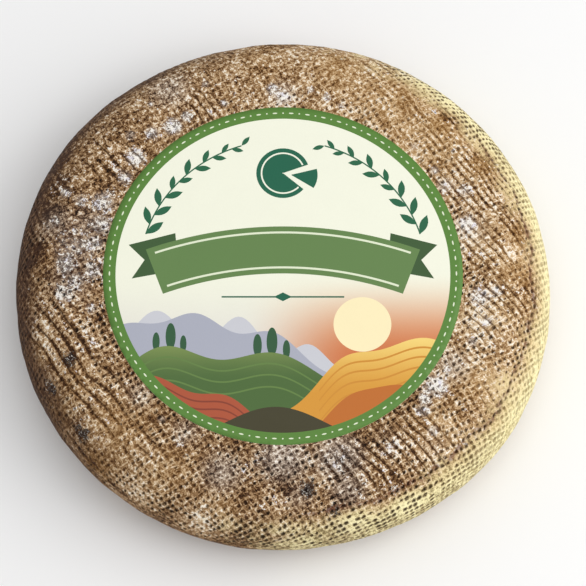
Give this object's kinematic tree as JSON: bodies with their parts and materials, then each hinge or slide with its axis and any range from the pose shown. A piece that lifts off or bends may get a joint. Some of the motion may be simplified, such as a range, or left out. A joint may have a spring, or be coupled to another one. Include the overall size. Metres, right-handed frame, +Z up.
{
  "type": "raclette cheese wheel",
  "caption": "Whole round pressed cheese with flat faces, a bulging cloth-marked side and a round paper label on top, for melting and scraping.",
  "frame": {"origin": "centre of the lower flat face, on the surface that the wheel rests on", "axes": "+Z up through the wheel's thickness; +X to the right and -Y towards the viewer as in the picture"},
  "size_m": [0.3004, 0.2988, 0.0623],
  "materials": {
    "rind": "dry washed rind, tan to ochre, pressed full of small dark pits and creases by its cloth, with pale mould",
    "label_paper": "thin satin printed paper, cream with a green rim"
  },
  "bodies": {
    "root": {"cheese_wheel": "rind", "paper_label": "label_paper"}
  },
  "joints": []
}
